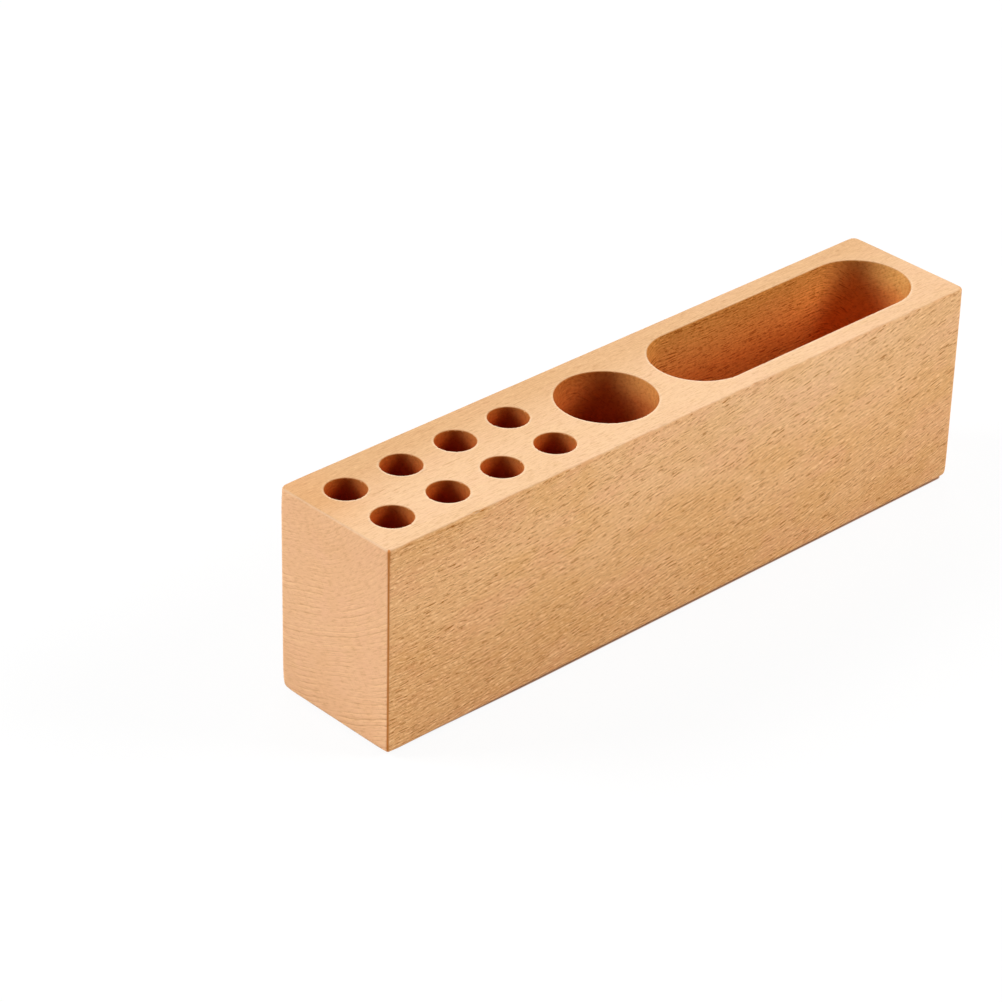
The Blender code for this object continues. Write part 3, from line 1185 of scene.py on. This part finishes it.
# Painted shade down the walls of the round holes, less on the lit cheeks.
dim_wall = times(scorch, plus(1.0, end_grain, LESS_ON_CHEEKS))
colour = blend(dim_wall, colour, HOLE_SHADE_TINT, "MULTIPLY")
# Darker brown on the dark edges, partly painted shade, and on the left end of the top.
browner = plus(times(mark("burnish"), DARK_EDGE_SHARE), left_of_top, TOP_LEFT_BROWN)
colour = blend(browner, colour, DARKER_BROWN)
print("hollows oiled and edges rubbed,", len(wood.nodes), "nodes so far")

# %% [markdown]
# The oil leaves a satin surface. Rays are a little smoother than the wood around them, fibres and rays
# lie in furrows of about a hundredth of a millimetre, and the rough walls of the hollows hardly shine.

# %% Finish the wood
SHINE = 0.06
SATIN = 0.44
FIBRE_ROUGH = 0.12
RAY_SMOOTH = -0.10
HOLLOW_ROUGH = 0.35
FIBRE_RELIEF = -0.5
RAY_RELIEF = -0.6
RELIEF_STRENGTH = 0.4
RELIEF = 0.02 * MM

relief = add_node(wood, "ShaderNodeBump", {
    "Height": plus(times(rays, RAY_RELIEF), fibres, FIBRE_RELIEF),
    "Strength": RELIEF_STRENGTH,
    "Distance": RELIEF,
})
skin = add_node(wood, "ShaderNodeBsdfPrincipled", {
    "Base Color": colour,
    "Roughness": layered(SATIN, (fibres, FIBRE_ROUGH), (rays, RAY_SMOOTH), (hollow, HOLLOW_ROUGH)),
    "Specular IOR Level": SHINE,
    "Normal": relief.outputs["Normal"],
})
add_node(wood, "ShaderNodeOutputMaterial", {"Surface": skin.outputs[0]})
block_mesh.materials.append(beech)
print("beech:", len(wood.nodes), "nodes")

# %% [markdown]
# ## The feet
#
# A block like this is kept from sliding by four rubber discs, punched from a sheet and stuck under its
# corners. A disc could be a plain cylinder, but a punched one shows how it was made: its lower rim is
# worn round, its cut edge leans a little, and a thinner film of adhesive shows above it, a little
# smaller than the rubber. So each is turned from a profile, and the film is part of the profile.

# %% Turn a foot
FOOT_POINTS = 72
RIM_TURNS = 5
FOOT_RIM = 0.20 * MM
FOOT_DISH = 0.04 * MM
DISH_SHARES = (0.3, 0.55, 0.75, 0.88)
FOOT_LEAN = 0.06 * MM
FILM_INSET = 0.18 * MM
FILM_GAP = 0.01 * MM
SHARP_ANGLE = 40


def foot_profile(radius, thickness, film_top):
    """(radius, height) from the middle of the underside, round the rim and up to the film's top."""
    profile = [(radius * share, FOOT_DISH * (1 - share)) for share in DISH_SHARES]
    for turn in quarter_turn(RIM_TURNS):
        profile.append((radius - FOOT_RIM * (1 - math.sin(turn)), FOOT_RIM * (1 - math.cos(turn))))
    profile.append((radius - FOOT_LEAN * 0.5, thickness - FOOT_LEAN))
    profile.append((radius - FOOT_LEAN * 1.5, thickness))
    profile.append((radius - FILM_INSET, thickness))
    profile.append((radius - FILM_INSET, film_top))
    return profile


def turn_shape(name, profile, lowest, highest):
    """A closed shape turned about Z, from a point on the axis below to one above."""
    turned_shape = bmesh.new()
    angles = np.linspace(0, 2 * math.pi, FOOT_POINTS, endpoint=False)
    turned_rings = []
    for radius, z in profile:
        ring = [turned_shape.verts.new((radius * math.cos(a), radius * math.sin(a), z)) for a in angles]
        turned_rings.append(ring)
    poles = (turned_shape.verts.new((0.0, 0.0, lowest)), turned_shape.verts.new((0.0, 0.0, highest)))
    join_rings(turned_shape, turned_rings)
    for pole, ring in zip(poles, (turned_rings[0], turned_rings[-1])):
        for i in range(FOOT_POINTS):
            turned_shape.faces.new((pole, ring[i - 1], ring[i]))
    bmesh.ops.recalc_face_normals(turned_shape, faces=turned_shape.faces)
    mesh = bpy.data.meshes.new(name)
    turned_shape.to_mesh(mesh)
    turned_shape.free()
    mesh.shade_smooth()
    mesh.set_sharp_from_angle(angle=math.radians(SHARP_ANGLE))
    return mesh


# %% [markdown]
# The rubber is nearly black and matte, with the fine grain of the sheet it was punched from and a
# little wood dust rubbed into it. The film is greyer. Both are one material, told apart by height.

# %% Mix the rubber
RUBBER_BLACK = (0.030, 0.029, 0.028, 1.0)
RUBBER_DUSTY = (0.085, 0.076, 0.066, 1.0)
FILM_GREY = (0.42, 0.41, 0.38, 1.0)
PAD_THICKNESS = 0.7 * MM
GRAIN_PER_MM = 7.0
DUST_PER_MM = 0.6
GRAIN_RELIEF = 0.04 * MM
GRAIN_ROUGH = 0.2
RUBBER_ROUGH = 0.68
RUBBER_SHINE = 0.3

rubber = bpy.data.materials.new("foot_rubber_sheet")
sheet = empty_tree(rubber)
foot_place = place_on_piece(sheet)
foot_mm = in_mm(sheet, foot_place)
grain = soft_noise(sheet, foot_mm, GRAIN_PER_MM, detail=3.0, roughness=0.6)["Fac"]
dust = soft_noise(sheet, foot_mm, DUST_PER_MM, detail=4.0)["Fac"]
film = calc(sheet, "GREATER_THAN", axes_of(sheet, foot_place)["Z"], PAD_THICKNESS + FILM_GAP)
tone = blend_colour(sheet, step_between(sheet, dust, 0.48, 0.75), RUBBER_BLACK, RUBBER_DUSTY)
tone = blend_colour(sheet, film, tone, FILM_GREY)
sheet_relief = add_node(sheet, "ShaderNodeBump", {
    "Height": grain, "Strength": RELIEF_STRENGTH, "Distance": GRAIN_RELIEF,
})
sheet_skin = add_node(sheet, "ShaderNodeBsdfPrincipled", {
    "Base Color": tone,
    "Roughness": calc(sheet, "MULTIPLY_ADD", grain, GRAIN_ROUGH, RUBBER_ROUGH),
    "Specular IOR Level": RUBBER_SHINE,
    "Normal": sheet_relief.outputs["Normal"],
})
add_node(sheet, "ShaderNodeOutputMaterial", {"Surface": sheet_skin.outputs[0]})
print("rubber:", len(sheet.nodes), "nodes")

# %% [markdown]
# Each foot takes its place and radius from the solid that it replaces. Its film reaches up to a hair
# below the wood, so that the two never share a face.

# %% Stick the feet on
for row in ("front", "back"):
    for side in ("left", "right"):
        node = f"foot_pad_{row}_{side}"
        pad_low, pad_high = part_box(node)
        middle = (pad_low + pad_high) / 2
        foot_radius = (pad_high.x - pad_low.x) / 2
        film_top = block_low.z - FILM_GAP - pad_low.z
        name = f"rubber_foot_{row}_{side}"
        profile = foot_profile(foot_radius, PAD_THICKNESS, film_top)
        foot_mesh = turn_shape(name, profile, FOOT_DISH, film_top)
        foot_mesh.materials.append(rubber)
        foot = add_object(name, foot_mesh)
        foot.location = (middle.x, middle.y, pad_low.z)
        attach(foot, "root")
        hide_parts(node)
        print(name, "at", [round(v / MM, 1) for v in middle], "with", len(foot_mesh.polygons), "faces")
